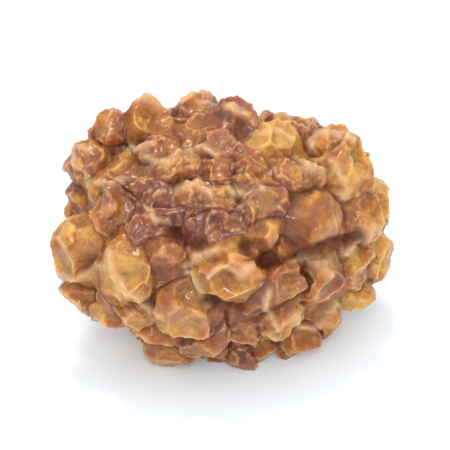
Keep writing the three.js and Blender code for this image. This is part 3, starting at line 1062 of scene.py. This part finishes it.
def flesh_material(settings):
    """Sun-dried mulberry flesh: sugary skin shrunk onto the seeds. It is amber and lets light in where it is
    thin, pales along its folds, partly as a painted highlight, and goes maroon with painted shade in the
    creases and hollows between the drupelets."""
    material, tree = empty_material("sun_dried_mulberry_flesh")
    place = add(tree, "ShaderNodeTexCoord").outputs["Object"]
    tone, dull, crease, ridge, fold, hollow = (
        add(tree, "ShaderNodeAttribute", attribute_name=name).outputs["Fac"]
        for name in ("tone", "film", "crease", "ridge", "fold", "hollow")
    )
    blotches, patches, pale_patches, contours, specks, pores = (
        add(tree, "ShaderNodeTexNoise", {"Vector": place, "Scale": 1 / (grain * MM), "Detail": detail})
        for grain, detail in (BLOTCHES, FILM_PATCHES, PALE_PATCHES, CONTOURS, SPECKS, PORES)
    )
    off_contour = add(tree, "ShaderNodeMath", {0: contours, 1: CONTOUR_AT}, operation="SUBTRACT")
    off_contour = add(tree, "ShaderNodeMath", {0: off_contour}, operation="ABSOLUTE")
    patchy, blotched, paled, crinkles, rough = (
        add(tree, "ShaderNodeMapRange", dict(enumerate((value, *limits))))
        for value, limits in (
            (patches, PATCH_RANGE), (tone, BLOTCH_RANGE), (pale_patches, PALE_RANGE),
            (off_contour, CRINKLE_RANGE), (specks, ROUGH_RANGE),
        )
    )

    shift, grain = (
        add(tree, "ShaderNodeMath", {0: pattern, 1: mean}, operation="SUBTRACT")
        for pattern, mean in ((blotches, BLOTCH_MEAN), (specks, SPECK_MEAN))
    )
    shade = add(tree, "ShaderNodeMath", {0: shift, 1: blotched, 2: tone}, operation="MULTIPLY_ADD")
    shade = add(tree, "ShaderNodeMath", {0: grain, 1: SPECK_TONE, 2: shade}, operation="MULTIPLY_ADD",
                use_clamp=True)
    flesh = add(tree, "ShaderNodeValToRGB", {0: shade})
    colours = (settings.dark, settings.brown, settings.amber, settings.bright)
    set_stops(flesh, [(at, opaque(colour)) for at, colour in zip(FLESH_STOPS, colours)])

    film = add(tree, "ShaderNodeMath", {0: dull, 1: patchy}, operation="ADD", use_clamp=True)
    # Painted light: pale ridges and folds are partly a painted highlight; crease and hollow colours are
    # painted shade
    film, raised, crease_shade, hollow_shade, ridge_pale_and_highlight = (
        add(tree, "ShaderNodeMath", {0: share, 1: most}, operation="MULTIPLY")
        for share, most in (
            (film, FILM_MOST), (fold, FOLD_MOST), (crease, CREASE_SHADE_MOST), (hollow, HOLLOW_SHADE_MOST),
            (ridge, paled),
        )
    )
    pale = add(tree, "ShaderNodeMath", {0: ridge_pale_and_highlight, 1: raised}, operation="MAXIMUM")
    colour = flesh.outputs[0]
    for share, over in ((film, settings.film), (pale, settings.pale), (crease_shade, settings.crease),
                        (hollow_shade, settings.crevice_shade)):
        inputs = {MIX_SHARE: share, MIX_FIRST: colour, MIX_SECOND: opaque(over)}
        colour = add(tree, "ShaderNodeMix", inputs, data_type="RGBA").outputs[MIX_RESULT]

    skin = add(tree, "ShaderNodeMath", {0: crinkles, 1: CRINKLE_BUMP, 2: pores}, operation="MULTIPLY_ADD")
    bump = add(tree, "ShaderNodeBump", {"Height": skin, "Strength": 0.8, "Distance": 0.07 * MM})
    outside_hollows = add(tree, "ShaderNodeMath", {0: 1.0, 1: hollow}, operation="SUBTRACT")
    gloss = add(tree, "ShaderNodeMath", {0: outside_hollows, 1: outside_hollows}, operation="MULTIPLY")
    gloss = add(tree, "ShaderNodeMath", {0: gloss, 1: GLOSS_MOST}, operation="MULTIPLY")
    shader = add(tree, "ShaderNodeBsdfPrincipled", {
        "Base Color": colour, "Roughness": rough, "Normal": bump, "IOR": 1.47,
        "Subsurface Weight": settings.glow, "Subsurface Radius": (1.0, 0.5, 0.2),
        "Subsurface Scale": 1.5 * MM, "Coat Weight": gloss, "Coat Roughness": 0.1,
        "Specular IOR Level": 0.2,
    })
    add(tree, "ShaderNodeOutputMaterial", {0: shader})
    return material


def stalk_material(settings):
    """Dry fruit stalk: pale woody fibres, matt and slightly darker in the grooves between them."""
    material, tree = empty_material("dry_fibrous_stalk")
    place = add(tree, "ShaderNodeTexCoord").outputs["Object"]
    fibre = add(tree, "ShaderNodeAttribute", attribute_name="fibre").outputs["Fac"]
    grain, detail = WOOD_GRAIN
    specks = add(tree, "ShaderNodeTexNoise", {"Vector": place, "Scale": 1 / (grain * MM), "Detail": detail})
    shade = add(tree, "ShaderNodeMath", {0: fibre, 1: specks}, operation="MULTIPLY")
    wood = add(tree, "ShaderNodeValToRGB", {0: shade})
    set_stops(wood, [(0.0, opaque(settings.groove)), (0.55, opaque(settings.fibre))])
    bump = add(tree, "ShaderNodeBump", {"Height": specks, "Strength": 0.6, "Distance": 0.06 * MM})
    shader = add(tree, "ShaderNodeBsdfPrincipled", {
        "Base Color": wood, "Roughness": 0.78, "Normal": bump, "Subsurface Weight": 0.1,
        "Subsurface Scale": 0.3 * MM,
    })
    add(tree, "ShaderNodeOutputMaterial", {0: shader})
    return material


def floor_material(settings):
    """Matt white board, faintly lit from below: an even pale surface whose shadows stay light and neutral."""
    material, tree = empty_material("matt_white_board")
    shader = add(tree, "ShaderNodeBsdfPrincipled", {
        "Base Color": opaque(settings.floor), "Roughness": 0.9,
        "Emission Color": opaque(settings.floor), "Emission Strength": 0.18,
    })
    add(tree, "ShaderNodeOutputMaterial", {0: shader})
    return material


# What a user may change


def number_property(name, description, value, **kind):
    """A number, whose kind is its unit or subtype and its limits."""
    return bpy.props.FloatProperty(name=name, description=description, default=value, **kind)


def size_property(name, description, size):
    """A size in millimetres."""
    return number_property(name, f"{description}, in millimetres", size)


def share_property(name, description, share):
    """A share from 0 to 1."""
    return number_property(name, description, share, subtype="FACTOR", min=0, max=1)


def colour_property(name, description, hex_colour):
    """A colour that is given as sRGB hex."""
    return bpy.props.FloatVectorProperty(
        name=name, description=description, default=linear(hex_colour), subtype="COLOR", min=0, max=1)


class FruitSettings(bpy.types.PropertyGroup):
    """Sizes in millimetres and colours of the fruit."""

    overlap: size_property("Overlap", "How far a drupelet reaches into its neighbours", 0.32)
    deep_base: size_property("Depth", "Least half depth of a drupelet", 0.8)
    deep_share: share_property("Depth by Size", "Half depth gained with width and height", 0.15)
    dish: share_property("Dish", "How far a face sinks between its edges, as a share of the half size", 0.1)
    fold_height: size_property("Fold Height", "Height of the wrinkles round a tip", 0.11)
    pit_depth: size_property("Slit Depth", "Depth of the slit in a tip", 0.5)
    crease_pinch: size_property("Crease Pinch", "How far every crease is drawn in", 0.14)
    crease_depth: size_property("Crease Depth", "How far the deepest creases are drawn in", 0.25)
    long_fold: size_property("Long Folds", "Height of the longest folds of the front", 0.25)
    edge_height: size_property("Edge Height", "Height of the fold where two faces meet", 0.12)
    crumple: size_property("Crumple", "Height of the small folds all over", 0.125)
    warp: size_property("Warp", "How far the skin is bent at random", 0.4)
    warp_size: size_property("Warp Size", "Length of that bending", 2.2)
    fill_rounds: bpy.props.IntProperty(
        name="Fill Rounds", description="How much neighbouring drupelets grow together", default=44)
    fineness: size_property("Fineness", "Distance between the points of the skin", 0.11)
    glow: share_property("Glow", "How much light goes into the flesh", 1.0)
    dark: colour_property("Dark", "Darkest drupelets", "#5C2E1C")
    brown: colour_property("Brown", "Brown drupelets", "#864624")
    amber: colour_property("Amber", "Amber drupelets", "#AA6A28")
    bright: colour_property("Bright", "Brightest drupelets", "#D2A052")
    film: colour_property("Film", "Dull film on the skin", "#925C4C")
    # Pale crust along ridges and folds, partly a painted highlight
    pale: colour_property("Pale", "Edges of the folds", "#DAB286")
    # Painted shade along the creases between the drupelets
    crease: colour_property("Crease", "Lines between the drupelets", "#5C2010")
    # Painted shade deep between the drupelets
    crevice_shade: colour_property("Crevice", "Deep between the drupelets", "#50160B")


class StalkSettings(bpy.types.PropertyGroup):
    """Sizes in millimetres and colours of the stalk's stub."""

    diameter: size_property("Diameter", "Diameter of the stalk", 1.3)
    length: size_property("Length", "Length of the stub with its root", 4.5)
    waist: share_property("Waist", "How much thinner its middle is", 0.3)
    bend: size_property("Bend", "How far its end curls aside", 0.45)
    twist: number_property("Twist", "Turn of the fibres along the stub", 0.7, subtype="ANGLE")
    ragged: size_property("Ragged End", "Height of the torn fibres at its end", 0.25)
    fibre: colour_property("Fibre", "Woody fibres", "#CDB083")
    groove: colour_property("Groove", "Between the fibres", "#7A5636")


class StageSettings(bpy.types.PropertyGroup):
    """Floor, lights and camera."""

    floor: colour_property("Floor", "Board that the fruit lies on", "#EFF8FF")
    key: number_property("Key Lamp", "Power of the small lamp behind the fruit", 0.64, unit="POWER")
    top: number_property("Top Lamp", "Power of the wide lamp above the fruit", 1.28, unit="POWER")
    fill: number_property("Fill Lamp", "Power of the lamp in front of the fruit", 1.30, unit="POWER")
    surroundings: number_property("Surroundings", "Strength of the white light from all round", 0.42, min=0)
    camera_turn: number_property(
        "Camera Turn", "Turn of the camera round the fruit", math.radians(VIEW_TURN), subtype="ANGLE")
    camera_rise: number_property(
        "Camera Rise", "Angle of the camera above the floor", math.radians(VIEW_RISE), subtype="ANGLE")
    camera_distance: number_property(
        "Camera Distance", "Distance of the camera from the fruit", 0.30, unit="LENGTH")
    view_width: number_property(
        "View Width", "Width of what the camera sees at the fruit", 0.0215, unit="LENGTH")


# The stage


def floor_object(settings):
    """A wide board under the fruit."""
    corners = [(x * FLOOR_REACH, y * FLOOR_REACH, 0) for x, y in ((-1, -1), (1, -1), (1, 1), (-1, 1))]
    floor = mesh_object("floor", corners, [(0, 1, 2, 3)])
    floor.data.materials.append(floor_material(settings))
    return floor


def white_world(settings):
    """Even white light from all round."""
    world = bpy.data.worlds.new("white_studio")
    world.use_nodes = True
    background = world.node_tree.nodes["Background"]
    background.inputs["Color"].default_value = (1, 1, 1, 1)
    background.inputs["Strength"].default_value = settings.surroundings
    return world


def soft_lamp(name, size, watts):
    """A square lamp, whose size softens its shadows."""
    lamp = bpy.data.lights.new(name, "AREA")
    lamp.shape = "SQUARE"
    lamp.size = size
    lamp.energy = watts
    return lamp


def set_facing(scene, lamp_or_camera, turn, rise, distance):
    """Puts a lamp or a camera where it looks at the middle of the fruit from that turn and rise."""
    outward = Vector(towards(turn, rise))
    placed = bpy.data.objects.new(lamp_or_camera.name, lamp_or_camera)
    placed.location = (FRUIT_BOX[0] + FRUIT_BOX[1]) / 2 + outward * distance
    placed.rotation_euler = outward.to_track_quat("Z", "Y").to_euler()
    scene.collection.objects.link(placed)
    return placed


# The operators and their panel


class MULBERRY_OT_fruit(bpy.types.Operator):
    """Grow the fruit: drupelets on a core, fused, shrunk and wrinkled"""

    bl_idname = "mulberry.fruit"
    bl_label = "Fruit"

    def execute(self, context):
        settings = context.scene.mulberry_fruit
        material = flesh_material(settings)
        drupelets = back_drupelets(front_drupelets())
        surface = Surface(fused_mesh(drupelets, settings, material))
        owners = Owners(surface.points, drupelets, settings)
        fill_creases(surface, owners, settings)
        surface.points = warp(surface.points, settings)
        wrinkle(surface, owners, settings)
        fit(surface)
        measure_relief(surface, owners)
        surface.points = surface.points * MM
        surface.write()
        surface.mesh.materials.clear()
        surface.mesh.materials.append(material)
        surface.mesh.shade_smooth()
        skin = bpy.data.objects.new("dried_fruit", surface.mesh)
        context.scene.collection.objects.link(skin)
        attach(skin, "root")
        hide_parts("fruit")
        return {"FINISHED"}


class MULBERRY_OT_stalk(bpy.types.Operator):
    """Grow the stub of the stalk: dry fibres round a waisted stem that is torn off at its end"""

    bl_idname = "mulberry.stalk"
    bl_label = "Stalk"

    def execute(self, context):
        settings = context.scene.mulberry_stalk
        stub = stalk_object(settings)
        stub.data.materials.append(stalk_material(settings))
        stub.data.shade_smooth()
        context.scene.collection.objects.link(stub)
        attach(stub, "root")
        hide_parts("stem_stub")
        return {"FINISHED"}


class MULBERRY_OT_stage(bpy.types.Operator):
    """Set the floor, the lights and the camera"""

    bl_idname = "mulberry.stage"
    bl_label = "Stage"

    def execute(self, context):
        settings = context.scene.mulberry_stage
        scene = context.scene
        floor = floor_object(settings)
        scene.collection.objects.link(floor)
        for name, (turn, rise, distance, size) in LAMPS.items():
            lamp = soft_lamp(name, size, getattr(settings, name))
            set_facing(scene, lamp, math.radians(turn), math.radians(rise), distance)
        scene.world = white_world(settings)
        scene.view_settings.view_transform = "Standard"
        camera = bpy.data.cameras.new("camera")
        camera.lens = camera.sensor_width * settings.camera_distance / settings.view_width
        camera.clip_start = NEAREST_SEEN
        scene.camera = set_facing(
            scene, camera, settings.camera_turn, settings.camera_rise, settings.camera_distance)
        return {"FINISHED"}


class MULBERRY_PT_panel(bpy.types.Panel):
    """Lists the pieces in the 3D view's sidebar"""

    bl_idname = "MULBERRY_PT_panel"
    bl_label = "Dried Mulberry"
    bl_space_type = "VIEW_3D"
    bl_region_type = "UI"
    bl_category = "Mulberry"

    def draw(self, context):
        for operator in OPERATORS:
            self.layout.operator(operator.bl_idname)


SETTINGS = {
    "mulberry_fruit": FruitSettings,
    "mulberry_stalk": StalkSettings,
    "mulberry_stage": StageSettings,
}
OPERATORS = (MULBERRY_OT_fruit, MULBERRY_OT_stalk, MULBERRY_OT_stage)


def register():
    for group in (*SETTINGS.values(), *OPERATORS, MULBERRY_PT_panel):
        bpy.utils.register_class(group)
    for name, group in SETTINGS.items():
        setattr(bpy.types.Scene, name, bpy.props.PointerProperty(type=group))


def unregister():
    for name in SETTINGS:
        delattr(bpy.types.Scene, name)
    for group in (MULBERRY_PT_panel, *OPERATORS[::-1], *list(SETTINGS.values())[::-1]):
        bpy.utils.unregister_class(group)


def main():
    register()
    bpy.ops.mulberry.fruit()
    bpy.ops.mulberry.stalk()
    bpy.ops.mulberry.stage()


if __name__ == "__main__":
    main()
